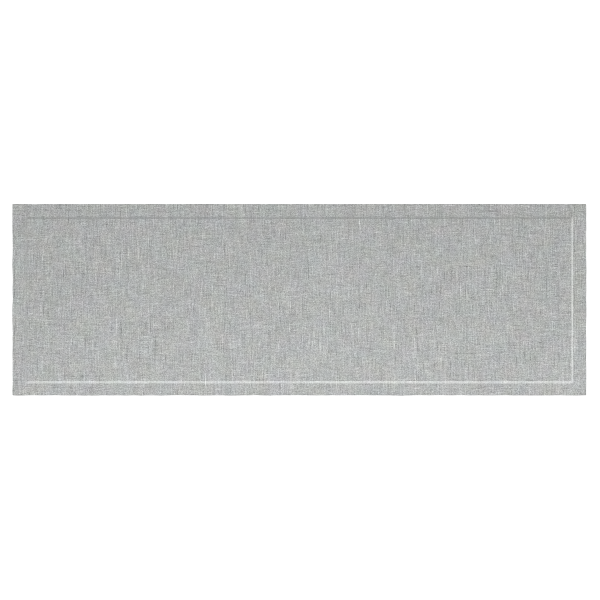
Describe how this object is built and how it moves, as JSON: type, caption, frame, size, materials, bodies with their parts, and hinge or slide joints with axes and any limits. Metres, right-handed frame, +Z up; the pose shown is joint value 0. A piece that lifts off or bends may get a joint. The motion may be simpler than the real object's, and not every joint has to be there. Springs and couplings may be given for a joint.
{
  "type": "table runner",
  "caption": "Long rectangular table runner in heavy linen-look cloth, lying flat, with a mitred hem on all sides.",
  "frame": {"origin": "middle of the underside of the runner, on the surface that it lies on", "axes": "+X along the runner, +Y across it towards the back hem, +Z up out of the face"},
  "size_m": [1.5, 0.5, 0.0019],
  "materials": {
    "cloth": "matt melange plain weave",
    "sewing_thread": "spun polyester, matt",
    "label_tape": "satin tape"
  },
  "bodies": {
    "root": {"centre_panel": "cloth", "front_hem": "cloth", "back_hem": "cloth", "left_hem": "cloth", "right_hem": "cloth", "front_needle_thread": "sewing_thread", "back_needle_thread": "sewing_thread", "left_needle_thread": "sewing_thread", "right_needle_thread": "sewing_thread", "front_bobbin_thread": "sewing_thread", "back_bobbin_thread": "sewing_thread", "left_bobbin_thread": "sewing_thread", "right_bobbin_thread": "sewing_thread", "front_left_mitre_thread": "sewing_thread", "front_right_mitre_thread": "sewing_thread", "back_left_mitre_thread": "sewing_thread", "back_right_mitre_thread": "sewing_thread", "care_label": "label_tape"}
  },
  "joints": []
}
